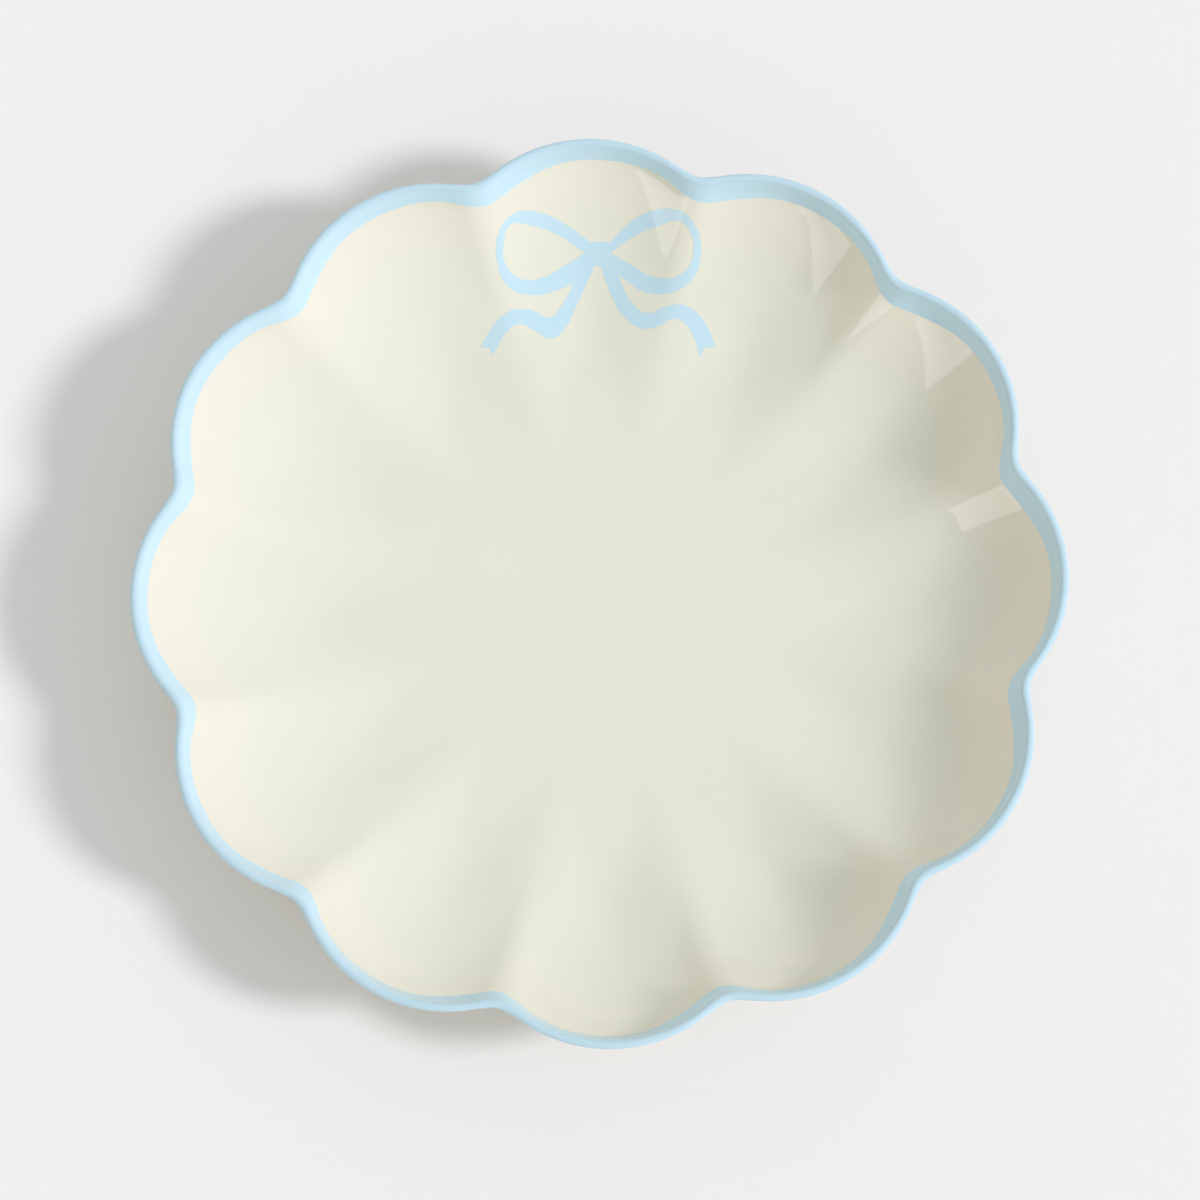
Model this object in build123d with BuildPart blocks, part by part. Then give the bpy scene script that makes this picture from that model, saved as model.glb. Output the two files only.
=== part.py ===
"""Scalloped dessert plate: a fluted clay body, its glaze coats, a rim band and a ribbon-bow transfer.

Millimetres, +Z up. The origin is on the axis of the plate, in the plane that its foot ring stands on.
A lobe of the rim lies on +X and one on +Y, and the bow is on the wall at the +Y side.
"""

import os
from math import atan2, cos, pi, radians, sin, sqrt, tan

from build123d import *

# Overall form
SCALLOPS = 12
MOUTH_RADIUS = 102.95  # axis to the inner face of the lip, at a lobe
SCALLOP_DEPTH = 6.6  # how far a notch comes in from the lobes
NOTCH_ROUND = 9.0  # plan radius of the inner face of the lip in a notch
OVERALL_HEIGHT = 29.0  # table to the top of the lip
FLOOR_LEVEL = 5.0  # table to the flat floor of the well

# Wall, glaze included
FLOOR_THICKNESS = 3.2  # inside the foot ring
WALL_THICKNESS = 2.8  # where the wall leaves the floor
LIP_THICKNESS = 2.0  # the lip is a full round of this width
LIP_LAND = 0.3  # width of the flat on the very top of the lip
LOBE_START = 57.0  # where the wall leaves the floor, along a lobe
RIDGE_START = 25.0  # where the wall leaves the floor, along the ridge between two lobes
LOBE_CURVE = 2.1  # exponent of the wall's rise along a lobe
RIDGE_CURVE = 3.6  # exponent of the wall's rise along a ridge
COLLAR = 4.1  # height of the steep collar, up to the middle of the lip's round
LOBE_LEAN = 1.35  # how far the collar leans out on a lobe
RIDGE_LEAN = 2.05  # how far the collar leans out on a ridge
BEND_SOFTNESS = 1.2  # how far off the collar the wall starts to turn into it
TIGHT_RISE = 8.0  # height over the floor from which the ridges are as tight as at the lip

# Foot ring, glaze included
FOOT_RADIUS = 58.0  # middle of the ring
FOOT_WIDTH = 4.0
FOOT_ROUND = 0.6  # rounding of the bare edge that stands on the table
BARE_FOOT = 0.9  # height of that edge, wiped clean of glaze

# Glaze
GLAZE = 0.3
BOND = 0.02  # hairline between the glaze and the clay it is fired on
BAND_DROP = 5.1  # lip top to the edge of the blue band inside the well
BAND_OUTER_DROP = 1.8  # lip top to the edge of the blue band on the outside

# Ribbon bow in plan, with its points measured from the knot
BOW_INSET = 19.95  # inner face of the lip to the knot
BOW_ASIDE = 2.4  # knot to the right of the middle of its lobe
KNOT = [
    (-1.8, 2.4), (2.9, 2.2), (2.8, -0.1), (2.2, -2.8), (0.5, -2.9), (-1.0, -2.6), (-2.6, -1.2), (-3.1, 0.2),
]
LEFT_LOOP = [
    (-1.4, 2.2), (-7.0, 5.8), (-13.1, 8.2), (-18.8, 7.7), (-22.6, 3.6),
    (-23.4, -1.8), (-20.9, -7.6), (-15.3, -9.1), (-8.4, -7.3), (-1.0, -2.6),
]
LEFT_HOLE = [
    (-3.1, 0.2), (-8.7, 3.6), (-15.2, 5.5), (-19.8, 5.3), (-21.6, 1.6),
    (-21.3, -3.0), (-18.0, -5.7), (-13.1, -5.2), (-7.3, -2.2), (-3.1, 0.2),
]
RIGHT_LOOP = [
    (2.4, 2.0), (6.0, 4.9), (11.4, 7.3), (16.7, 7.2), (21.7, 4.0), (23.4, -1.5),
    (21.2, -7.4), (15.6, -10.0), (9.6, -8.8), (5.7, -5.7), (1.6, -2.0),
]
RIGHT_HOLE = [
    (2.8, -0.1), (7.6, 2.6), (13.6, 4.2), (18.5, 4.5), (21.1, 1.8),
    (21.4, -2.8), (18.5, -6.3), (12.8, -6.2), (7.4, -3.0), (2.8, -0.1),
]
LEFT_TAIL_UPPER = [
    (-2.2, -1.0), (-6.0, -5.4), (-8.8, -11.1), (-11.6, -13.9),
    (-15.8, -12.4), (-19.9, -12.5), (-23.9, -15.0), (-27.7, -20.4),
]
LEFT_TAIL_CUT = (-25.7, -20.7)  # inner corner of the swallow-tail end
LEFT_TAIL_LOWER = [
    (-24.9, -22.3), (-21.9, -17.7), (-18.6, -15.6), (-15.2, -17.0),
    (-11.6, -18.7), (-8.4, -16.5), (-5.1, -10.5), (-1.0, -2.6),
]
RIGHT_TAIL_LOWER = [
    (0.5, -2.9), (2.5, -8.8), (5.4, -14.2), (10.0, -17.3),
    (13.6, -16.8), (16.9, -15.5), (20.0, -17.5), (22.6, -24.2),
]
RIGHT_TAIL_CUT = (23.8, -21.9)
RIGHT_TAIL_UPPER = [
    (26.2, -21.9), (23.8, -16.4), (19.6, -12.8), (15.1, -12.8),
    (10.8, -13.9), (7.6, -11.6), (4.9, -6.3), (2.8, -2.0),
]

# Fineness of the wall
WALL_RINGS = 12  # level rings from the floor to the bend under the collar
RING_CROWDING = 2.6  # exponent that sets them closer together near the floor
COLLAR_RINGS = 3  # and from there to the lip
RING_POINTS = 11  # points of each ring along one scallop
OVERLAP = 1.25  # how far a scallop is modelled past its own share of the circle, before it is trimmed
INNER_TURNS = (150, 120)  # degrees round the lip, from level outward, of the rings on its inner side
OUTER_TURNS = (0, 30, 60)  # and on its outer side
SLOPE_STEP = 0.01  # rise over which a slope is measured

# Worked-out sizes, with wall heights counted from the floor of the well
HALF_SCALLOP = pi / SCALLOPS
LIP_ROUND = LIP_THICKNESS / 2
LIP_CENTRE = OVERALL_HEIGHT - FLOOR_LEVEL - LIP_ROUND
BEND_HEIGHT = LIP_CENTRE - COLLAR
BASE_LEVEL = FLOOR_LEVEL - FLOOR_THICKNESS
LOBE_LINE = (LOBE_START, MOUTH_RADIUS, LOBE_LEAN, LOBE_CURVE)
RIDGE_LINE = (RIDGE_START, MOUTH_RADIUS - SCALLOP_DEPTH, RIDGE_LEAN, RIDGE_CURVE)
WALL_HEIGHTS = [BEND_HEIGHT * (step / WALL_RINGS) ** RING_CROWDING for step in range(WALL_RINGS + 1)]
COLLAR_HEIGHTS = [BEND_HEIGHT + COLLAR * (step + 1) / COLLAR_RINGS for step in range(COLLAR_RINGS)]
RING_HEIGHTS = WALL_HEIGHTS + COLLAR_HEIGHTS

# In plan the lip is an arc on each lobe and a smaller, hollow arc in each notch, tangent to one another
NOTCH_CENTRE = MOUTH_RADIUS - SCALLOP_DEPTH + NOTCH_ROUND
LOBE_ROUND = (
    MOUTH_RADIUS**2 + NOTCH_CENTRE**2 - NOTCH_ROUND**2 - 2 * MOUTH_RADIUS * NOTCH_CENTRE * cos(HALF_SCALLOP)
) / (2 * (MOUTH_RADIUS + NOTCH_ROUND - NOTCH_CENTRE * cos(HALF_SCALLOP)))
LOBE_CENTRE = MOUTH_RADIUS - LOBE_ROUND
LOBE_SHARE = LOBE_ROUND / (LOBE_ROUND + NOTCH_ROUND)
JOIN_ANGLE = atan2(
    LOBE_SHARE * NOTCH_CENTRE * sin(HALF_SCALLOP),
    LOBE_CENTRE + LOBE_SHARE * (NOTCH_CENTRE * cos(HALF_SCALLOP) - LOBE_CENTRE),
)


def scallop_share(angle, height):
    """Share of the scallop's depth at an angle in plan: 0 on a lobe, 1 in a notch, softer near the floor."""
    off_lobe = abs((angle + HALF_SCALLOP) % (2 * HALF_SCALLOP) - HALF_SCALLOP)
    off_notch = HALF_SCALLOP - off_lobe
    if off_lobe < JOIN_ANGLE:
        radius = LOBE_CENTRE * cos(off_lobe) + sqrt(LOBE_ROUND**2 - (LOBE_CENTRE * sin(off_lobe)) ** 2)
    else:
        radius = NOTCH_CENTRE * cos(off_notch) - sqrt(NOTCH_ROUND**2 - (NOTCH_CENTRE * sin(off_notch)) ** 2)
    tight = (MOUTH_RADIUS - radius) / SCALLOP_DEPTH
    soft = (1 - cos(SCALLOPS * angle)) / 2
    rise = min(height / TIGHT_RISE, 1)
    return soft + (tight - soft) * rise**2 * (3 - 2 * rise)


def wall_radius(height, start, mouth, lean, curve):
    """Radius of the upper face at a height above the floor: a rising curve that bends into the collar."""
    rising = start + (mouth - lean - start) * (height / BEND_HEIGHT) ** (1 / curve)
    upright = mouth - lean * (LIP_CENTRE - height) / COLLAR
    nearness = max(1 - abs(rising - upright) / BEND_SOFTNESS, 0)
    return min(rising, upright) - BEND_SOFTNESS * nearness**3 / 6


def under_radius(height, inset, line):
    """Radius of the surface that lies a given depth under the upper face, square to it."""
    radius = wall_radius(height, *line)
    slope = atan2(SLOPE_STEP, wall_radius(height + SLOPE_STEP, *line) - radius)
    return radius + inset * tan(slope / 2)


def lip_radius(offset, line):
    """Radius at a distance outward from the middle of the lip's round."""
    start, mouth, lean, curve = line
    return mouth + LIP_ROUND / sin(atan2(COLLAR, lean)) + offset


def wall_thickness(height):
    """Thickness of the wall, thinning evenly from its start to the lip."""
    return WALL_THICKNESS + (LIP_THICKNESS - WALL_THICKNESS) * height / LIP_CENTRE


def ring_sketch(level, height, lobe, ridge):
    """One scallop of a ring at a level, shaped as the wall is at a height, closed behind the plate's axis."""
    shares = [step / (RING_POINTS - 1) for step in range(RING_POINTS)]
    points = []
    for share in shares:
        angle = HALF_SCALLOP * OVERLAP * (2 * share - 1)
        radius = lobe + (ridge - lobe) * scallop_share(angle, height)
        points.append((radius * cos(angle), radius * sin(angle)))
    with BuildSketch(Plane.XY.offset(level)) as ring:
        with BuildLine():
            add(Edge.make_spline(points, parameters=shares))
            Polyline(points[-1], (-RIDGE_START / 2, 0), points[0])
        make_face()
    return ring.sketch


def wall_rings(insets):
    """Rings of the wall from the floor to the lip, each at its own depth under the upper face."""
    rings = []
    for height, inset in zip(RING_HEIGHTS, insets):
        radii = [under_radius(height, inset, line) for line in (LOBE_LINE, RIDGE_LINE)]
        rings.append(ring_sketch(FLOOR_LEVEL + height - inset, height, *radii))
    return rings


def lip_rings(skin, turns, land):
    """Rings over one side of the lip, up to the flat on its top, a skin under its surface."""
    round_left = LIP_ROUND - skin
    places = [(round_left * cos(radians(turn)), round_left * sin(radians(turn))) for turn in turns]
    places.append((land, round_left))
    rings = []
    for offset, rise in places:
        radii = [lip_radius(offset, line) for line in (LOBE_LINE, RIDGE_LINE)]
        rings.append(ring_sketch(FLOOR_LEVEL + LIP_CENTRE + rise, LIP_CENTRE, *radii))
    return rings


def side_plane(angle):
    """Upright plane through the axis of the plate, facing round it."""
    return Plane((0, 0, 0), x_dir=(cos(angle), sin(angle), 0), z_dir=(-sin(angle), cos(angle), 0))


def one_scallop(skin, foot_bottom):
    """One scallop's share of the plate, its surface moved in by a skin, on a foot that ends at a height."""
    under_face = [skin for height in RING_HEIGHTS]
    over_back = [wall_thickness(height) - skin for height in RING_HEIGHTS]
    foot_inside = FOOT_RADIUS - FOOT_WIDTH / 2 + skin
    foot_outside = FOOT_RADIUS + FOOT_WIDTH / 2 - skin
    foot_root = FLOOR_LEVEL + FLOOR_THICKNESS
    with BuildPart() as scallop:
        loft(wall_rings(over_back) + lip_rings(skin, OUTER_TURNS, LIP_LAND / 2))
        with BuildSketch(Plane.XZ):
            with BuildLine():
                Polyline(
                    (0, BASE_LEVEL + skin),
                    (foot_inside, BASE_LEVEL + skin),
                    (foot_inside, foot_bottom),
                    (foot_outside, foot_bottom),
                    (foot_outside, foot_root),
                    (0, foot_root),
                    close=True,
                )
            make_face()
        revolve(axis=Axis.Z)
        loft(wall_rings(under_face) + lip_rings(skin, INNER_TURNS, -LIP_LAND / 2), mode=Mode.SUBTRACT)
        split(bisect_by=side_plane(HALF_SCALLOP), keep=Keep.BOTTOM)
        split(bisect_by=side_plane(-HALF_SCALLOP), keep=Keep.TOP)
    return scallop.part


def all_round(scallop):
    """Solid of all the scallops: the faces of one, without its two trimmed sides, sewn to their copies."""
    trimmed_sides = scallop.faces().filter_by(lambda face: face.is_planar and abs(face.normal_at().Z) < 0.5)
    skin = scallop.faces() - trimmed_sides
    copies = [face.rotate(Axis.Z, 360 / SCALLOPS * turn) for turn in range(SCALLOPS) for face in skin]
    return Solid(Shell(copies)).clean()


def below(solid, level):
    """The part of a solid under a level plane."""
    with BuildPart() as lower:
        add(solid)
        split(bisect_by=Plane.XY.offset(level), keep=Keep.BOTTOM)
    return lower.part


def above(solid, level):
    """The part of a solid over a level plane."""
    with BuildPart() as upper:
        add(solid)
        split(bisect_by=Plane.XY.offset(level), keep=Keep.TOP)
    return upper.part


# One scallop of the clay, and of the coat of glaze round it
clay = one_scallop(GLAZE, 0)
with BuildPart() as coat:
    add(one_scallop(0, BARE_FOOT))
    add(one_scallop(GLAZE - BOND, 0), mode=Mode.SUBTRACT)

# The bare foot parts the coat in two, and the lip parts its face from its back
base_coat, wall_coat = coat.solids().sort_by(SortBy.VOLUME)
coat_ring = all_round(wall_coat)
lip_coat = above(coat_ring, OVERALL_HEIGHT - BAND_OUTER_DROP)
sides = below(coat_ring, OVERALL_HEIGHT - BAND_OUTER_DROP).solids()
back_coat, face_coat = sides.sort_by(lambda solid: solid.bounding_box().min.Z)
face_ring = below(face_coat, OVERALL_HEIGHT - BAND_DROP)

with BuildPart() as plate_body:
    add(all_round(clay))
    fillet(plate_body.edges().group_by(Axis.Z)[0], FOOT_ROUND)

with BuildPart() as rim_band:
    add(lip_coat)
    add(above(face_coat, OVERALL_HEIGHT - BAND_DROP))

with BuildPart() as back_glaze:
    add(back_coat)

with BuildPart() as base_glaze:
    add(all_round(base_coat))

# The bow stands as a prism through the wall: it takes its share out of the face glaze
with BuildPart() as bow_prism:
    with BuildSketch(Plane((BOW_ASIDE, MOUTH_RADIUS - BOW_INSET, 0))):
        for loop in (LEFT_LOOP, RIGHT_LOOP):
            with BuildLine():
                Spline(loop)
                Line(loop[-1], loop[0])
            make_face()
        for outward, cut, inward in (
            (LEFT_TAIL_UPPER, LEFT_TAIL_CUT, LEFT_TAIL_LOWER),
            (RIGHT_TAIL_LOWER, RIGHT_TAIL_CUT, RIGHT_TAIL_UPPER),
        ):
            with BuildLine():
                Spline(outward)
                Polyline(outward[-1], cut, inward[0])
                Spline(inward)
                Line(inward[-1], outward[0])
            make_face()
        with BuildLine():
            Polyline(KNOT, close=True)
        make_face()
        for hole in (LEFT_HOLE, RIGHT_HOLE):
            with BuildLine():
                Spline(hole)
            make_face(mode=Mode.SUBTRACT)
    extrude(amount=OVERALL_HEIGHT)

with BuildPart() as bow_motif:
    add(face_ring)
    add(bow_prism.part, mode=Mode.INTERSECT)

with BuildPart() as face_glaze:
    add(face_ring)
    add(bow_prism.part, mode=Mode.SUBTRACT)

os.makedirs("parts", exist_ok=True)
plate_body.part.label = "plate_body"
export_step(plate_body.part, "parts/plate_body.step")
face_glaze.part.label = "face_glaze"
export_step(face_glaze.part, "parts/face_glaze.step")
rim_band.part.label = "rim_band"
export_step(rim_band.part, "parts/rim_band.step")
bow_motif.part.label = "bow_motif"
export_step(bow_motif.part, "parts/bow_motif.step")
back_glaze.part.label = "back_glaze"
export_step(back_glaze.part, "parts/back_glaze.step")
base_glaze.part.label = "base_glaze"
export_step(base_glaze.part, "parts/base_glaze.step")
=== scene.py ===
"""Scalloped dessert plate: cream glaze, a blue band round the lip and a ribbon bow over the packed clay body.

Metres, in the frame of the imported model: +Z up out of the well, the foot ring standing on Z = 0.
"""

from math import atan2, cos, pi, radians, sin, tan

import bpy
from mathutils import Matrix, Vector


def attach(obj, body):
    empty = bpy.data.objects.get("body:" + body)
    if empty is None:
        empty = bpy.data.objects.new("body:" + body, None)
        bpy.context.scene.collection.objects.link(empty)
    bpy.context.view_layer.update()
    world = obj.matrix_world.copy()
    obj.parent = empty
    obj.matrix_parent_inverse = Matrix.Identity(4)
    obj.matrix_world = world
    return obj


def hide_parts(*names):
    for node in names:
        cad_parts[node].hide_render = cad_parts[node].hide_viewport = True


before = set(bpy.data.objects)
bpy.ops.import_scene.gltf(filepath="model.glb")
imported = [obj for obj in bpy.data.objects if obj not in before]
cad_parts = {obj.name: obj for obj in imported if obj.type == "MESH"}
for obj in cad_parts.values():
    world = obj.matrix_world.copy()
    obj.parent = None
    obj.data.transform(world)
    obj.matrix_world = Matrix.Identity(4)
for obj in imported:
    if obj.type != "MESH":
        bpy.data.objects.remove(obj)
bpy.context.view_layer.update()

# Form of the plate
SCALLOPS = 12
MOUTH_RADIUS = 0.10295  # axis to the inner face of the lip, at a lobe
SCALLOP_DEPTH = 0.0066  # how far a notch comes in from the lobes
NOTCH_ROUND = 0.009  # plan radius of the lip's inner face in a notch
OVERALL_HEIGHT = 0.029
FLOOR_LEVEL = 0.005
BASE_LEVEL = 0.0018
WALL_THICKNESS = 0.0028
LIP_THICKNESS = 0.002
LOBE_START = 0.057  # where the wall leaves the floor, along a lobe
RIDGE_START = 0.025  # and along the ridge between two lobes
LOBE_CURVE = 2.1  # exponent of the wall's rise along a lobe
RIDGE_CURVE = 3.6
COLLAR = 0.0041  # height of the steep collar, up to the middle of the lip's round
LOBE_LEAN = 0.00135  # how far the collar leans out on a lobe
RIDGE_LEAN = 0.00205
BEND_SOFTNESS = 0.0012  # how far off the collar the wall starts to turn into it
TIGHT_RISE = 0.008  # height over the floor from which the ridges are as tight as at the lip
NOTCH_SWELL = 0.00019  # how far the outside of the wall stands out on the flanks of a notch
SWELL_WIDTH = radians(3.3)  # angle from the notch over which it does so
FOOT_RADIUS = 0.058
FOOT_WIDTH = 0.004
FOOT_FILLET = 0.002
BARE_FOOT = 0.0009  # height of the foot's edge that is wiped clean of glaze
COAT = 0.00028  # thickness of the glaze
PRINT_LIFT = 0.00003  # how far the bow's print stands on the glaze
PRINT = 0.00006  # thickness of the print

# Places on the profile, which counts up from the middle of the floor over the lip to the foot's edge
FLOOR_END = 1.0
WALL_END = 2.0
LIP_END = 3.0
BACK_END = 4.0
FOOT_END = 5.0
CREAM_WARMS = 1.55  # where painted warm bounce light starts on the cream towards the band
BAND_EDGE = 1.9  # where the cream meets the band on the wall
BAND_LIGHT_ENDS = 2.075  # where the painted light on the band's steep collar has faded, just over onto the lip
BAND_OUTER = 3.06  # where the band ends on the back
CREAM_WARM_ENDS = 3.4  # where the painted warm light on the cream has faded out on the back
SWELL_FULL = 3.3  # down to where the flanks of a notch stand out in full
SWELL_GONE = 3.8
BAND_SLANT = -0.0165  # the band was laid on a little turned against the scallops
SLANT_RIPPLE = 0.44  # share of a second, shorter wave in that slant

# Fineness of the meshes
COLUMNS = SCALLOPS * 36 + 1
FACE_ROWS = 90
BAND_ROWS = 40
BACK_ROWS = 80
BASE_COLUMNS = 145
BASE_ROWS = 24
BOW_WALL_LINES = 400
BOW_CUTS = 3  # how often the filled bow is divided
BOW_STEPS = 6  # straight pieces between two points of the bow's outline
WELD = 1e-6  # points closer than this become one
SLOPE_STEP = 0.00001  # height over which the slope of the wall is taken
SHARP_ANGLE = radians(50)  # faces that meet at more than this show an edge

# Worked-out sizes, with wall heights counted from the floor of the well
HALF_SCALLOP = pi / SCALLOPS
LIP_ROUND = LIP_THICKNESS / 2
LIP_CENTRE = OVERALL_HEIGHT - FLOOR_LEVEL - LIP_ROUND
BEND_HEIGHT = LIP_CENTRE - COLLAR
LOBE_SLOPE = atan2(COLLAR, LOBE_LEAN)
RIDGE_SLOPE = atan2(COLLAR, RIDGE_LEAN)
LIP_TURN = pi / 2 + LOBE_SLOPE  # angle round the lip, from level outward, where the collar runs into it
WALL_TOP = LIP_CENTRE + LIP_ROUND * sin(LIP_TURN)
NOTCH_CENTRE = MOUTH_RADIUS - SCALLOP_DEPTH + NOTCH_ROUND
LOBE_ROUND = (
    MOUTH_RADIUS**2 + NOTCH_CENTRE**2 - NOTCH_ROUND**2 - 2 * MOUTH_RADIUS * NOTCH_CENTRE * cos(HALF_SCALLOP)
) / (2 * (MOUTH_RADIUS + NOTCH_ROUND - NOTCH_CENTRE * cos(HALF_SCALLOP)))
LOBE_CENTRE = MOUTH_RADIUS - LOBE_ROUND
LOBE_SHARE = LOBE_ROUND / (LOBE_ROUND + NOTCH_ROUND)
JOIN_ANGLE = atan2(
    LOBE_SHARE * NOTCH_CENTRE * sin(HALF_SCALLOP),
    LOBE_CENTRE + LOBE_SHARE * (NOTCH_CENTRE * cos(HALF_SCALLOP) - LOBE_CENTRE),
)


class Wiring:
    """Adds nodes to a tree and links them, so that sums read in the order they are worked out."""

    def __init__(self, tree):
        self.tree = tree

    def node(self, kind, values=(), **settings):
        """A node with its settings, and its inputs set or linked by name or number."""
        node = self.tree.nodes.new(kind)
        for name, setting in settings.items():
            setattr(node, name, setting)
        for name, value in dict(values).items():
            self.feed(node.inputs[name], value)
        return node

    def feed(self, socket, value):
        """Links a socket, or sets its value."""
        if isinstance(value, bpy.types.NodeSocket):
            self.tree.links.new(value, socket)
        else:
            socket.default_value = value

    def math(self, operation, *values):
        """Result of a Math node."""
        node = self.tree.nodes.new("ShaderNodeMath")
        node.operation = operation
        for socket, value in zip(node.inputs, values):
            self.feed(socket, value)
        return node.outputs[0]

    def pick(self, under, limit, low, high):
        """One value where a number is under a limit, and another where it isn't."""
        test = self.node(
            "FunctionNodeCompare", {0: under, 1: limit}, data_type="FLOAT", operation="LESS_THAN"
        ).outputs[0]
        switch = self.node("GeometryNodeSwitch", {0: test, 1: high, 2: low}, input_type="FLOAT")
        return switch.outputs[0]

    def fade(self, value, start, end):
        """Share that goes smoothly from 0 at a start to 1 at an end."""
        node = self.node(
            "ShaderNodeMapRange",
            {"Value": value, "From Min": start, "From Max": end},
            interpolation_type="SMOOTHSTEP",
        )
        return node.outputs[0]

    def ramp(self, value, *stops):
        """A number read off straight lines between stops, each a value and its result."""
        node = self.node("ShaderNodeValToRGB", {0: value})
        stop_list = node.color_ramp.elements
        while len(stop_list) < len(stops):
            stop_list.new(1.0)
        for stop, (place, result) in zip(stop_list, stops):
            stop.position = place
            stop.color = (result, result, result, 1)
        return node.outputs["Color"]

    def blend(self, share, first, second):
        """Colour between two colours."""
        node = self.tree.nodes.new("ShaderNodeMix")
        node.data_type = "RGBA"
        node.clamp_factor = True
        self.feed(node.inputs["Factor"], share)
        for name, colour in (("A", first), ("B", second)):
            socket = [entry for entry in node.inputs if entry.name == name and entry.type == "RGBA"][0]
            self.feed(socket, colour if isinstance(colour, bpy.types.NodeSocket) else (*colour, 1))
        return [entry for entry in node.outputs if entry.type == "RGBA"][0]

    def noise(self, place, pattern):
        """Value of a noise pattern at a place."""
        return self.node("ShaderNodeTexNoise", {"Vector": place, **pattern}).outputs["Fac"]

    def bump(self, height, depth):
        """Normal of a surface that a height makes uneven."""
        return self.node("ShaderNodeBump", {"Height": height, **depth}).outputs[0]

    def around(self, radius, angle, level):
        """Position at a radius and an angle round the axis, on a level."""
        spot = self.node(
            "ShaderNodeCombineXYZ",
            {
                "X": self.math("MULTIPLY", radius, self.math("COSINE", angle)),
                "Y": self.math("MULTIPLY", radius, self.math("SINE", angle)),
                "Z": level,
            },
        )
        return spot.outputs[0]

    def sheet(self, grid, position, **labels):
        """Grid laid in its place with its seam closed, and numbers on its points for the materials."""
        mesh = grid.outputs["Mesh"]
        for name, value in labels.items():
            stored = self.node(
                "GeometryNodeStoreNamedAttribute",
                {"Geometry": mesh, "Name": name, "Value": value},
                data_type="FLOAT",
                domain="POINT",
            )
            mesh = stored.outputs[0]
        placed = self.node("GeometryNodeSetPosition", {"Geometry": mesh, "Position": position})
        closed = self.node("GeometryNodeMergeByDistance", {"Geometry": placed.outputs[0], "Distance": WELD})
        return closed.outputs[0]

    def end(self, mesh, material):
        """Ends the tree with the mesh smooth, made real and painted."""
        smooth = self.node("GeometryNodeSetShadeSmooth", {"Geometry": mesh})
        real = self.node("GeometryNodeRealizeInstances", {"Geometry": smooth.outputs[0]})
        painted = self.node("GeometryNodeSetMaterial", {0: real.outputs[0], "Material": material})
        result = self.tree.nodes.new("NodeGroupOutput")
        self.tree.links.new(painted.outputs[0], result.inputs[0])


SKIN_SIZES = {
    "Turn From": 0.0,
    "Turn Sweep": 2 * pi,
    "Edge Slant From": 0.0,
    "Edge Slant To": 0.0,
    "Scallops": float(SCALLOPS),
    "Half Scallop": HALF_SCALLOP,
    "Scallop Depth": SCALLOP_DEPTH,
    "Lobe Round": LOBE_ROUND,
    "Lobe Centre": LOBE_CENTRE,
    "Notch Round": NOTCH_ROUND,
    "Notch Centre": NOTCH_CENTRE,
    "Join Angle": JOIN_ANGLE,
    "Tight Rise": TIGHT_RISE,
    "Floor Level": FLOOR_LEVEL,
    "Wall Top": WALL_TOP,
    "Bend Height": BEND_HEIGHT,
    "Bend Softness": BEND_SOFTNESS,
    "Collar": COLLAR,
    "Lobe Start": LOBE_START,
    "Lobe Mouth": MOUTH_RADIUS,
    "Lobe Lean": LOBE_LEAN,
    "Lobe Curve": LOBE_CURVE,
    "Ridge Start": RIDGE_START,
    "Ridge Mouth": MOUTH_RADIUS - SCALLOP_DEPTH,
    "Ridge Lean": RIDGE_LEAN,
    "Ridge Curve": RIDGE_CURVE,
    "Lip Centre": LIP_CENTRE,
    "Lip Round": LIP_ROUND,
    "Lip Turn": LIP_TURN,
    "Lip At Lobe": MOUTH_RADIUS + LIP_ROUND / sin(LOBE_SLOPE),
    "Lip At Ridge": MOUTH_RADIUS - SCALLOP_DEPTH + LIP_ROUND / sin(RIDGE_SLOPE),
    "Wall Thickness": WALL_THICKNESS,
    "Lip Thickness": LIP_THICKNESS,
    "Foot Outside": FOOT_RADIUS + FOOT_WIDTH / 2,
    "Foot Fillet": FOOT_FILLET,
    "Bare Foot": BARE_FOOT,
    "Notch Swell": NOTCH_SWELL,
    "Swell Width": SWELL_WIDTH,
}


def new_tree(name, **inputs):
    """Empty node tree with named inputs of each kind and one for a material, its wiring and its inputs."""
    tree = bpy.data.node_groups.new(name, "GeometryNodeTree")
    for kind, names in (*inputs.items(), ("Material", ("Material",))):
        for entry in names:
            tree.interface.new_socket(entry, in_out="INPUT", socket_type="NodeSocket" + kind)
    tree.interface.new_socket("Geometry", in_out="OUTPUT", socket_type="NodeSocketGeometry")
    return tree, Wiring(tree), tree.nodes.new("NodeGroupInput").outputs


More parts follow.
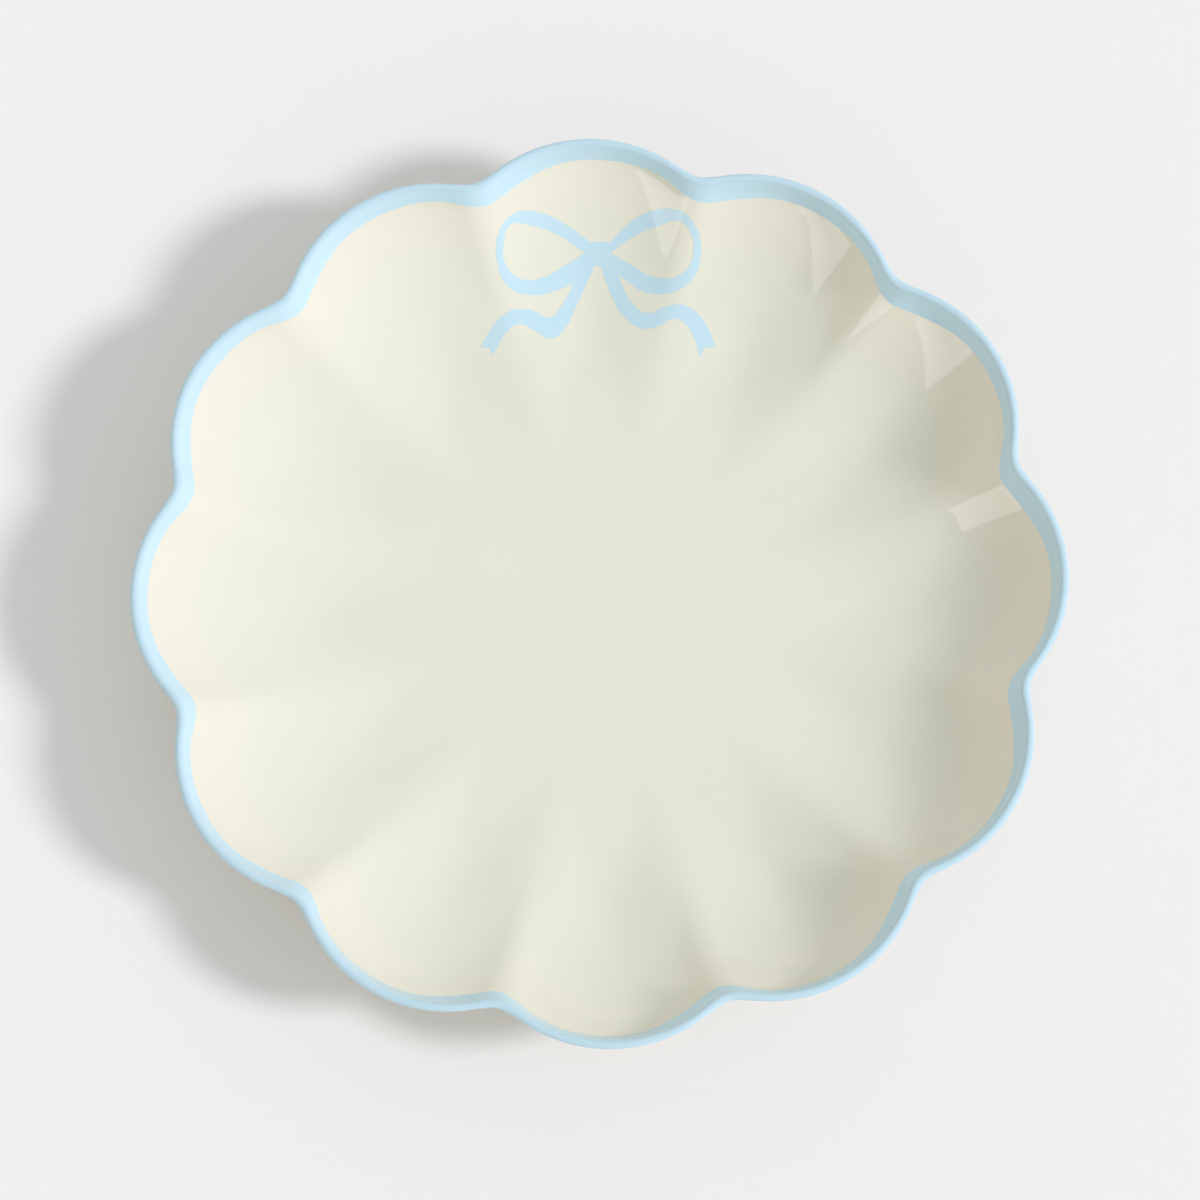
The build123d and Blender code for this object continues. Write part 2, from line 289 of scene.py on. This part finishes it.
def skin_tree():
    """Node tree of one coat of glaze: a sheet wrapped on the plate between two places of its profile."""
    tree, wire, given = new_tree("glaze_skin", Int=("Columns", "Rows"), Float=("From", "To", *SKIN_SIZES))
    math = wire.math

    # Place on the plate: an angle round it and a place on its profile, with a slant of the coat's edges
    grid = wire.node("GeometryNodeMeshGrid", {"Vertices X": given["Columns"], "Vertices Y": given["Rows"]})
    across = wire.node("ShaderNodeSeparateXYZ", {0: grid.outputs["UV Map"]})
    angle = math("MULTIPLY_ADD", across.outputs["X"], given["Turn Sweep"], given["Turn From"])
    flute_turn = math("MULTIPLY", angle, given["Scallops"])
    short_wave = math("SINE", math("MULTIPLY", flute_turn, 2.0))
    slant = math("MULTIPLY_ADD", short_wave, -SLANT_RIPPLE, math("SINE", flute_turn))
    first = math("MULTIPLY_ADD", given["Edge Slant From"], slant, given["From"])
    last = math("MULTIPLY_ADD", given["Edge Slant To"], slant, given["To"])
    place = math("MULTIPLY_ADD", across.outputs["Y"], math("SUBTRACT", last, first), first)

    # Height over the floor of the wall's upper face, here or in front of this place on the back
    rise = math("MULTIPLY", given["Wall Top"], math("POWER", math("SUBTRACT", place, FLOOR_END), 2.0))
    down = math("MULTIPLY", given["Lip Centre"], math("POWER", math("SUBTRACT", BACK_END, place), 2.0))
    height = wire.pick(place, BACK_END, down, 0.0)
    height = wire.pick(place, LIP_END, given["Lip Centre"], height)
    height = wire.pick(place, WALL_END, rise, height)
    height = wire.pick(place, FLOOR_END, 0.0, height)

    # Share of the scallop's depth: 0 on a lobe, 1 in a notch, softer near the floor
    off_lobe = math("PINGPONG", angle, given["Half Scallop"])
    off_notch = math("SUBTRACT", given["Half Scallop"], off_lobe)
    aside = math("MULTIPLY", given["Lobe Centre"], math("SINE", off_lobe))
    chord = math("SUBTRACT", math("POWER", given["Lobe Round"], 2.0), math("POWER", aside, 2.0))
    lobe_arc = math("MULTIPLY_ADD", given["Lobe Centre"], math("COSINE", off_lobe), math("SQRT", chord))
    aside = math("MULTIPLY", given["Notch Centre"], math("SINE", off_notch))
    chord = math("SUBTRACT", math("POWER", given["Notch Round"], 2.0), math("POWER", aside, 2.0))
    notch_far = math("MULTIPLY", given["Notch Centre"], math("COSINE", off_notch))
    notch_arc = math("SUBTRACT", notch_far, math("SQRT", math("MAXIMUM", chord, 0.0)))
    outline = wire.pick(off_lobe, given["Join Angle"], lobe_arc, notch_arc)
    tight = math("DIVIDE", math("SUBTRACT", given["Lobe Mouth"], outline), given["Scallop Depth"])
    soft = math("MULTIPLY_ADD", math("COSINE", flute_turn), -0.5, 0.5)
    tightness = wire.fade(height, 0.0, given["Tight Rise"])
    share = math("MULTIPLY_ADD", math("SUBTRACT", tight, soft), tightness, soft)

    def fluted(lobe, ridge):
        """Radius in plan between that of a lobe and that of a ridge."""
        return math("MULTIPLY_ADD", math("SUBTRACT", ridge, lobe), share, lobe)

    def wall(line, extra=0.0):
        """Radius of the upper face on a lobe or a ridge, a little above the height if asked."""
        start, mouth, lean, curve = (given[line + size] for size in (" Start", " Mouth", " Lean", " Curve"))
        above = math("ADD", height, extra)
        part = math("POWER", math("DIVIDE", above, given["Bend Height"]), math("DIVIDE", 1.0, curve))
        bend = math("SUBTRACT", mouth, lean)
        rising = math("MULTIPLY_ADD", math("SUBTRACT", bend, start), part, start)
        over_lip = math("SUBTRACT", above, given["Lip Centre"])
        upright = math("MULTIPLY_ADD", over_lip, math("DIVIDE", lean, given["Collar"]), mouth)
        return math("SMOOTH_MIN", rising, upright, given["Bend Softness"])

    # Floor, and the upper face of the wall
    floor_radius = math("MULTIPLY", fluted(given["Lobe Start"], given["Ridge Start"]), place)
    lobe_wall = wall("Lobe")
    ridge_wall = wall("Ridge")
    wall_radius = fluted(lobe_wall, ridge_wall)
    wall_level = math("ADD", given["Floor Level"], height)

    # Over the lip
    turn = math("MULTIPLY", given["Lip Turn"], math("SUBTRACT", LIP_END, place))
    lip_out = math("MULTIPLY", given["Lip Round"], math("COSINE", turn))
    lip_up = math("MULTIPLY", given["Lip Round"], math("SINE", turn))
    lip_radius = math("ADD", fluted(given["Lip At Lobe"], given["Lip At Ridge"]), lip_out)
    lip_level = math("ADD", math("ADD", given["Floor Level"], given["Lip Centre"]), lip_up)

    # Back of the wall, a wall's thickness under its upper face
    thinning = math("SUBTRACT", given["Lip Thickness"], given["Wall Thickness"])
    up_wall = math("DIVIDE", height, given["Lip Centre"])
    thick = math("MULTIPLY_ADD", thinning, up_wall, given["Wall Thickness"])
    behind = []
    for radius, line in ((lobe_wall, "Lobe"), (ridge_wall, "Ridge")):
        slope = math("ARCTAN2", SLOPE_STEP, math("SUBTRACT", wall(line, SLOPE_STEP), radius))
        behind.append(math("MULTIPLY_ADD", thick, math("TANGENT", math("DIVIDE", slope, 2.0)), radius))
    back_radius = fluted(*behind)
    back_level = math("SUBTRACT", wall_level, thick)

    # Side of the foot ring, which the back runs into through a fillet
    foot_radius = fluted(given["Lobe Start"], given["Ridge Start"])
    foot_top = math("SUBTRACT", given["Floor Level"], given["Wall Thickness"])
    foot_fall = math("SUBTRACT", given["Bare Foot"], foot_top)
    foot_level = math("MULTIPLY_ADD", foot_fall, math("SUBTRACT", place, BACK_END), foot_top)

    # The stretch of the profile that this place is on
    radius = wire.pick(place, BACK_END, back_radius, foot_radius)
    radius = math("SMOOTH_MAX", radius, given["Foot Outside"], given["Foot Fillet"])
    level = wire.pick(place, BACK_END, back_level, foot_level)
    for stretch_end, stretch_radius, stretch_level in (
        (LIP_END, lip_radius, lip_level),
        (WALL_END, wall_radius, wall_level),
        (FLOOR_END, floor_radius, given["Floor Level"]),
    ):
        radius = wire.pick(place, stretch_end, stretch_radius, radius)
        level = wire.pick(place, stretch_end, stretch_level, level)

    # Flanks of the notches, which stand out a little on the outside of the wall
    flank = math("MINIMUM", math("DIVIDE", off_notch, given["Swell Width"]), 1.0)
    bulge = math("POWER", math("SINE", math("MULTIPLY", flank, pi)), 2.0)
    swell = math("MULTIPLY", given["Notch Swell"], bulge)
    swell = math("MULTIPLY", swell, wire.fade(place, WALL_END, LIP_END))
    swell = math("MULTIPLY", swell, wire.fade(place, SWELL_GONE, SWELL_FULL))
    radius = math("ADD", radius, swell)

    coat_sheet = wire.sheet(grid, wire.around(radius, angle, level), profile=place, flute=share)
    facing_out = wire.node("GeometryNodeFlipFaces", {0: coat_sheet})
    wire.end(facing_out.outputs[0], given["Material"])
    return tree


def base_tree():
    """Node tree of the glaze inside the foot ring: a disc that faces down, hollow-filleted at its rim."""
    tree, wire, given = new_tree("base_disc", Int=("Columns", "Rows"), Float=("Radius", "Level", "Fillet"))
    math = wire.math

    # The inner half of the rows is the disc, the outer half the fillet
    grid = wire.node("GeometryNodeMeshGrid", {"Vertices X": given["Columns"], "Vertices Y": given["Rows"]})
    across = wire.node("ShaderNodeSeparateXYZ", {0: grid.outputs["UV Map"]})
    angle = math("MULTIPLY", across.outputs["X"], 2 * pi)
    place = math("MULTIPLY", across.outputs["Y"], 2.0)
    turn = math("MULTIPLY", math("MAXIMUM", math("SUBTRACT", place, 1.0), 0.0), pi / 2)
    flat = math("SUBTRACT", given["Radius"], given["Fillet"])
    inward = math("MULTIPLY", flat, math("MINIMUM", place, 1.0))
    radius = math("MULTIPLY_ADD", given["Fillet"], math("SINE", turn), inward)
    drop = math("SUBTRACT", math("COSINE", turn), 1.0)
    level = math("MULTIPLY_ADD", given["Fillet"], drop, given["Level"])
    disc = wire.sheet(grid, wire.around(radius, angle, level), profile=0.0, flute=0.0)
    wire.end(disc, given["Material"])
    return tree


def bow_tree():
    """Node tree of the ribbon bow: its outline filled, dropped on the wall and lifted off it by a hair."""
    tree, wire, given = new_tree(
        "ribbon_bow", Object=("Outline", "Wall"), Int=("Fineness",), Float=("Drop From", "Lift")
    )
    drawn = wire.node("GeometryNodeObjectInfo", {"Object": given["Outline"]})
    wall = wire.node("GeometryNodeObjectInfo", {"Object": given["Wall"]})
    filled = wire.node("GeometryNodeFillCurve", {"Curve": drawn.outputs["Geometry"]})
    fine = wire.node("GeometryNodeSubdivideMesh", {"Mesh": filled.outputs[0], "Level": given["Fineness"]})
    here = wire.node("ShaderNodeSeparateXYZ", {0: tree.nodes.new("GeometryNodeInputPosition").outputs[0]})
    over = wire.node(
        "ShaderNodeCombineXYZ", {"X": here.outputs["X"], "Y": here.outputs["Y"], "Z": given["Drop From"]}
    )
    landed = wire.node(
        "GeometryNodeRaycast",
        {
            "Target Geometry": wall.outputs["Geometry"],
            "Source Position": over.outputs[0],
            "Ray Direction": (0, 0, -1),
            "Ray Length": given["Drop From"],
        },
    )
    lifted = wire.node(
        "ShaderNodeVectorMath",
        {0: landed.outputs["Hit Normal"], 1: given["Lift"], 2: landed.outputs["Hit Position"]},
        operation="MULTIPLY_ADD",
    )
    laid = wire.node("GeometryNodeSetPosition", {"Geometry": fine.outputs[0], "Position": lifted.outputs[0]})
    wire.end(laid.outputs[0], given["Material"])
    return tree


def grown(name, tree, inputs, thickness=0.0):
    """Plain mesh object of what a node tree makes, thickened inward into a closed coat if asked."""
    seed = bpy.data.objects.new(name + "_seed", bpy.data.meshes.new(name + "_seed"))
    bpy.context.scene.collection.objects.link(seed)
    modifier = seed.modifiers.new("shape", "NODES")
    modifier.node_group = tree
    for socket in tree.interface.items_tree:
        if socket.name in inputs and socket.in_out == "INPUT":
            modifier[socket.identifier] = inputs[socket.name]
    if thickness:
        thickened = seed.modifiers.new("coat", "SOLIDIFY")
        thickened.thickness = thickness
        thickened.offset = -1
    bpy.context.view_layer.update()
    mesh = bpy.data.meshes.new_from_object(seed.evaluated_get(bpy.context.evaluated_depsgraph_get()))
    mesh.name = name
    bpy.data.objects.remove(seed)
    mesh.set_sharp_from_angle(angle=SHARP_ANGLE)
    piece = bpy.data.objects.new(name, mesh)
    bpy.context.scene.collection.objects.link(piece)
    return piece


# Materials, with the scales of their patterns per metre
NOISE_LOW = 0.3  # most values of a noise lie between these two
NOISE_HIGH = 0.7
GLAZE_CLOUDS = {"Scale": 38.0, "Detail": 3.0, "Roughness": 0.55}
CLOUD_STOPS = ((0.35, 0.0), (0.65, 1.0))
GLAZE_SMEARS = {"Scale": 120.0, "Detail": 2.0}
GLAZE_RIPPLES = {"Scale": 260.0, "Detail": 1.0}
RIPPLE_DEPTH = {"Strength": 0.05, "Distance": 0.0002}
CREST_LIGHT_STOPS = ((0.86, 0.0), (1.0, 0.12))  # share of painted warm light towards the crest of a ridge
CLAY_CLOUDS = {"Scale": 90.0, "Detail": 4.0}
CLAY_TONES = ((0.76, 0.73, 0.65), (0.84, 0.81, 0.73))
CLAY_ROUGHNESS = (0.78, 0.9)
CLAY_SPECKS = {"Scale": 1400.0, "Detail": 1.0}
SPECK_STOPS = ((0.68, 0.0), (0.74, 0.45))
SPECK_TONE = (0.5, 0.42, 0.33)
CLAY_SAND = {"Scale": 2600.0, "Detail": 2.0}
SAND_DEPTH = {"Strength": 0.35, "Distance": 0.0001}


def new_finish(name):
    """Material, its wiring, the sockets of its shader and the place on the plate."""
    material = bpy.data.materials.new(name)
    material.use_nodes = True
    wire = Wiring(material.node_tree)
    surface = material.node_tree.nodes["Principled BSDF"].inputs
    return material, wire, surface, wire.node("ShaderNodeTexCoord").outputs["Object"]


def glaze(name, colours, painted_light_colour, painted_light_stops, roughness, gloss):
    """Glossy glaze: two close tones in clouds, and a third colour of painted light on the crests of ridges
    and along given stretches of the profile.
    """
    material, wire, surface, place = new_finish(name)
    surface["Specular IOR Level"].default_value = gloss
    toned = wire.blend(wire.ramp(wire.noise(place, GLAZE_CLOUDS), *CLOUD_STOPS), *colours)
    profile = wire.node("ShaderNodeAttribute", attribute_name="profile").outputs["Fac"]
    flute = wire.node("ShaderNodeAttribute", attribute_name="flute").outputs["Fac"]
    # painted light: a third colour laid over the tones by place on the profile and along the crests of ridges
    painted_edge_stops = [(stop / FOOT_END, share) for stop, share in painted_light_stops]
    painted_edge_share = wire.ramp(wire.math("DIVIDE", profile, FOOT_END), *painted_edge_stops)
    painted_share = wire.math("MAXIMUM", wire.ramp(flute, *CREST_LIGHT_STOPS), painted_edge_share)
    wire.feed(surface["Base Color"], wire.blend(painted_share, toned, painted_light_colour))
    smears = wire.noise(place, GLAZE_SMEARS)
    wire.feed(surface["Roughness"], wire.ramp(smears, (NOISE_LOW, roughness[0]), (NOISE_HIGH, roughness[1])))
    wire.feed(surface["Normal"], wire.bump(wire.noise(place, GLAZE_RIPPLES), RIPPLE_DEPTH))
    return material


def bare_clay():
    """Fired clay without glaze: matt, sandy and lightly speckled."""
    material, wire, surface, place = new_finish("bare_clay")
    clouds = wire.noise(place, CLAY_CLOUDS)
    specks = wire.ramp(wire.noise(place, CLAY_SPECKS), *SPECK_STOPS)
    wire.feed(surface["Base Color"], wire.blend(specks, wire.blend(clouds, *CLAY_TONES), SPECK_TONE))
    smooth, rough = CLAY_ROUGHNESS
    wire.feed(surface["Roughness"], wire.ramp(clouds, (NOISE_LOW, smooth), (NOISE_HIGH, rough)))
    wire.feed(surface["Normal"], wire.bump(wire.noise(place, CLAY_SAND), SAND_DEPTH))
    return material


CREAM = glaze(
    "cream_glaze",
    colours=((0.774, 0.779, 0.657), (0.786, 0.791, 0.673)),
    # painted warm bounce light on the cream near the band, on the wall and on the back, and a touch of it
    # along the ridge crests
    painted_light_colour=(0.803, 0.785, 0.667),
    painted_light_stops=((CREAM_WARMS, 0.0), (BAND_EDGE, 0.9), (BAND_OUTER, 0.9), (CREAM_WARM_ENDS, 0.0)),
    roughness=(0.04, 0.07),
    gloss=0.5,
)
BLUE = glaze(
    "blue_glaze",
    colours=((0.503, 0.698, 0.795), (0.523, 0.712, 0.805)),
    # paler on the steep collar and deeper on the lip's top: painted light and shade on the band
    painted_light_colour=(0.586, 0.8, 0.9),
    painted_light_stops=((WALL_END, 0.85), (BAND_LIGHT_ENDS, 0.0)),
    roughness=(0.04, 0.07),
    gloss=0.12,
)
PRINTED = glaze(
    "blue_transfer",
    colours=((0.54, 0.745, 0.85), (0.555, 0.76, 0.862)),
    painted_light_colour=(0.62, 0.79, 0.86),
    painted_light_stops=((0.0, 0.0), (FOOT_END, 0.0)),
    roughness=(0.05, 0.09),
    gloss=0.5,
)
CLAY = bare_clay()

# Glaze coats
skin = skin_tree()


def coat(name, rows, start, end, material, **sizes):
    """Coat of glaze all round the plate between two places of its profile."""
    inputs = {"Columns": COLUMNS, "Rows": rows, "From": start, "To": end, "Material": material}
    return grown(name, skin, {**SKIN_SIZES, **inputs, **sizes}, COAT)


def take_over(piece, node):
    """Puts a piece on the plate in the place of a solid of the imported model."""
    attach(piece, "root")
    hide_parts(node)


face = coat("face_glaze_coat", FACE_ROWS, 0.0, BAND_EDGE, CREAM, **{"Edge Slant To": BAND_SLANT})
take_over(face, "face_glaze")
band = coat("rim_band_coat", BAND_ROWS, BAND_EDGE, BAND_OUTER, BLUE, **{"Edge Slant From": BAND_SLANT})
take_over(band, "rim_band")
back = coat("back_glaze_coat", BACK_ROWS, BAND_OUTER, FOOT_END, CREAM)
take_over(back, "back_glaze")
base = grown(
    "base_glaze_coat",
    base_tree(),
    {
        "Columns": BASE_COLUMNS,
        "Rows": BASE_ROWS,
        "Radius": FOOT_RADIUS - FOOT_WIDTH / 2,
        "Level": BASE_LEVEL,
        "Fillet": BASE_LEVEL - BARE_FOOT,
        "Material": CREAM,
    },
    COAT,
)
take_over(base, "base_glaze")
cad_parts["plate_body"].data.materials.clear()
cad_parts["plate_body"].data.materials.append(CLAY)

# Ribbon bow in plan, millimetres from its knot, with a list for each smooth run between two corners
BOW_AT = (0.0024, 0.083)
BOW_WALL_FROM = radians(60)  # the stretch of wall that the bow lies on
BOW_WALL_SWEEP = radians(60)
BOW_OUTLINE = [
    [(2.9, 2.2), (-1.8, 2.4)],
    [
        (-1.8, 2.4), (-7.0, 5.8), (-13.1, 8.2), (-18.8, 7.7), (-22.6, 3.6), (-23.4, -1.8), (-20.9, -7.6),
        (-15.3, -9.1), (-8.8, -7.5), (-5.9, -6.2),
    ],
    [
        (-5.9, -6.2), (-8.8, -11.1), (-11.6, -13.9), (-15.8, -12.4), (-19.9, -12.5), (-23.9, -15.0),
        (-27.7, -20.4),
    ],
    [(-27.7, -20.4), (-25.7, -20.7)],
    [(-25.7, -20.7), (-24.9, -22.3)],
    [
        (-24.9, -22.3), (-21.9, -17.7), (-18.6, -15.6), (-15.2, -17.0), (-11.6, -18.7), (-8.4, -16.5),
        (-5.1, -10.5), (-1.0, -2.6),
    ],
    [(-1.0, -2.6), (0.5, -2.9)],
    [
        (0.5, -2.9), (2.5, -8.8), (5.4, -14.2), (10.0, -17.3), (13.6, -16.8), (16.9, -15.5), (20.0, -17.5),
        (22.6, -24.2),
    ],
    [(22.6, -24.2), (23.8, -21.9)],
    [(23.8, -21.9), (26.2, -21.9)],
    [(26.2, -21.9), (23.8, -16.4), (19.6, -12.8), (15.1, -12.8), (10.8, -13.9), (7.6, -11.6), (4.2, -4.8)],
    [
        (4.2, -4.8), (5.7, -5.9), (9.6, -8.8), (15.6, -10.0), (21.2, -7.4), (23.4, -1.5), (21.7, 4.0),
        (16.7, 7.2), (11.4, 7.3), (6.0, 4.9), (2.9, 2.2),
    ],
]
BOW_HOLES = [
    [
        (-3.1, 0.2), (-8.7, 3.6), (-15.2, 5.5), (-19.8, 5.3), (-21.6, 1.6), (-21.3, -3.0), (-18.0, -5.7),
        (-13.1, -5.2), (-7.3, -2.2), (-3.1, 0.2),
    ],
    [
        (2.8, -0.1), (7.6, 2.6), (13.6, 4.2), (18.5, 4.5), (21.1, 1.8), (21.4, -2.8), (18.5, -6.3),
        (12.8, -6.2), (7.4, -3.0), (2.8, -0.1),
    ],
]


def add_loop(curve, runs):
    """Closed loop of a curve along runs of points, sharp where two runs meet and smooth within them."""
    knots = [(point, index == 0) for run in runs for index, point in enumerate(run[:-1])]
    loop = curve.splines.new("BEZIER")
    loop.use_cyclic_u = True
    loop.resolution_u = BOW_STEPS
    loop.bezier_points.add(len(knots) - 1)
    for spot, (point, corner) in zip(loop.bezier_points, knots):
        spot.co = (BOW_AT[0] + point[0] / 1000, BOW_AT[1] + point[1] / 1000, 0)
        spot.handle_left_type = "VECTOR" if corner else "AUTO"
        spot.handle_right_type = "VECTOR" if corner else "AUTO"


bow_curve = bpy.data.curves.new("bow_outline", "CURVE")
bow_curve.dimensions = "2D"
bow_curve.fill_mode = "NONE"
add_loop(bow_curve, BOW_OUTLINE)
for hole in BOW_HOLES:
    add_loop(bow_curve, [hole])
bow_drawing = bpy.data.objects.new("bow_outline", bow_curve)
bpy.context.scene.collection.objects.link(bow_drawing)
bow_wall = grown(
    "bow_wall",
    skin,
    {
        **SKIN_SIZES,
        "Columns": BOW_WALL_LINES,
        "Rows": BOW_WALL_LINES,
        "From": FLOOR_END,
        "To": BAND_EDGE,
        "Turn From": BOW_WALL_FROM,
        "Turn Sweep": BOW_WALL_SWEEP,
        "Material": CREAM,
    },
)
bow = grown(
    "bow_print",
    bow_tree(),
    {
        "Outline": bow_drawing,
        "Wall": bow_wall,
        "Fineness": BOW_CUTS,
        "Drop From": 2 * OVERALL_HEIGHT,
        "Lift": PRINT_LIFT,
        "Material": PRINTED,
    },
    PRINT,
)
bpy.data.objects.remove(bow_drawing)
bpy.data.objects.remove(bow_wall)
take_over(bow, "bow_motif")

# Floor
GROUND_SIZE = 12
GROUND_TONE = (0.86, 0.86, 0.86, 1)
bpy.ops.mesh.primitive_plane_add(size=GROUND_SIZE)
ground = bpy.context.object
ground.name = "ground"
ground_finish = bpy.data.materials.new("pale_floor")
ground_finish.use_nodes = True
ground_finish.node_tree.nodes["Principled BSDF"].inputs["Base Color"].default_value = GROUND_TONE
ground_finish.node_tree.nodes["Principled BSDF"].inputs["Roughness"].default_value = 1.0
ground.data.materials.append(ground_finish)

# Light: a pale room, brighter in front and behind, warm low on the left and rosy low on the right
ROOM = (0.534, 0.576, 0.57)
FRONT_AND_BACK = (0.475, 0.426, 0.405)
LOW_LIGHT_FULL = 0.08  # sine of the rise up to which a low light is at its full strength
LOW_LIGHTS = (  # side, colour, and the sine of the rise where the light ends
    (-1.0, (0.93, 0.62, 0.48), 0.8),
    (1.0, (0.76, 0.55, 0.8), 0.5),
)
world = bpy.data.worlds.new("studio")
bpy.context.scene.world = world
world.use_nodes = True
room = Wiring(world.node_tree)
way = room.node("ShaderNodeSeparateXYZ", {0: room.node("ShaderNodeTexCoord").outputs["Generated"]})
walls = ROOM
for side, tone, ceiling in LOW_LIGHTS:
    sideways = room.math("MAXIMUM", room.math("MULTIPLY", way.outputs["X"], side), 0.0)
    lowness = room.fade(way.outputs["Z"], ceiling, LOW_LIGHT_FULL)
    walls = room.blend(room.math("MULTIPLY", room.math("POWER", sideways, 2.0), lowness), walls, tone)
bright = room.blend(room.math("POWER", way.outputs["Y"], 2.0), (0.0, 0.0, 0.0), FRONT_AND_BACK)
lit = room.node("ShaderNodeVectorMath", {0: walls, 1: bright}, operation="ADD")
background = world.node_tree.nodes["Background"]
room.feed(background.inputs["Color"], lit.outputs[0])
background.inputs["Strength"].default_value = 1.0


def toward(turn, rise):
    """Direction with a turn from +X and a rise from level, in degrees."""
    turn, rise = radians(turn), radians(rise)
    return Vector((cos(turn) * cos(rise), sin(turn) * cos(rise), sin(rise)))


def put(data, spot, direction):
    """Lamp or camera at a spot, pointing back along a direction."""
    item = bpy.data.objects.new(data.name, data)
    bpy.context.scene.collection.objects.link(item)
    item.location = spot
    item.rotation_mode = "QUATERNION"
    item.rotation_quaternion = direction.to_track_quat("Z", "Y")
    return item


SUN_STRENGTH = 1.69
SUN_COLOUR = (1.04, 1.0, 1.06)
SUN_SPREAD = radians(11)
SUN_WAY = toward(-12.6, 39.1)
SUN_FAR = 3.0
sun = bpy.data.lights.new("low_sun", "SUN")
sun.energy = SUN_STRENGTH
sun.color = SUN_COLOUR
sun.angle = SUN_SPREAD
sun_lamp = put(sun, SUN_WAY * SUN_FAR, SUN_WAY)
sun_lamp.visible_camera = False
sun_lamp.visible_glossy = False

# Two upright windows on the left, in one plane, which only glint on the glaze
WINDOW_FACING = 171  # turn of the line from the plate straight to their plane, in degrees
WINDOW_FAR = 2.0
WINDOWS = (  # name, turns of its two ends, height and glow
    ("tall_window", 203, 240, 1.93, 1.9),
    ("low_window", 150, 194, 0.7, 0.25),
)
outward = toward(WINDOW_FACING, 0)
along = toward(WINDOW_FACING + 90, 0)
for name, first_turn, last_turn, top, glow in WINDOWS:
    near_end = WINDOW_FAR * tan(radians(first_turn - WINDOW_FACING))
    far_end = WINDOW_FAR * tan(radians(last_turn - WINDOW_FACING))
    window = bpy.data.lights.new(name, "AREA")
    window.shape = "RECTANGLE"
    window.size = far_end - near_end
    window.size_y = top
    window.energy = glow * pi * window.size * window.size_y
    middle = outward * WINDOW_FAR + along * (near_end + far_end) / 2 + Vector((0, 0, top / 2))
    window_lamp = put(window, middle, outward)
    window_lamp.visible_camera = False
    window_lamp.visible_diffuse = False

# Camera
AIM = Vector((-0.00002, -0.00327, 0.0280))
CAMERA_WAY = toward(-91.821, 75.791)
CAMERA_FAR = 1.402
LENS_TO_FRAME = 6276.7 / 1200  # focal length over the width of the frame
SENSOR_WIDTH = 36
camera = bpy.data.cameras.new("camera")
camera.sensor_width = SENSOR_WIDTH
camera.lens = LENS_TO_FRAME * SENSOR_WIDTH
bpy.context.scene.camera = put(camera, AIM + CAMERA_WAY * CAMERA_FAR, CAMERA_WAY)
bpy.context.scene.view_settings.view_transform = "Standard"
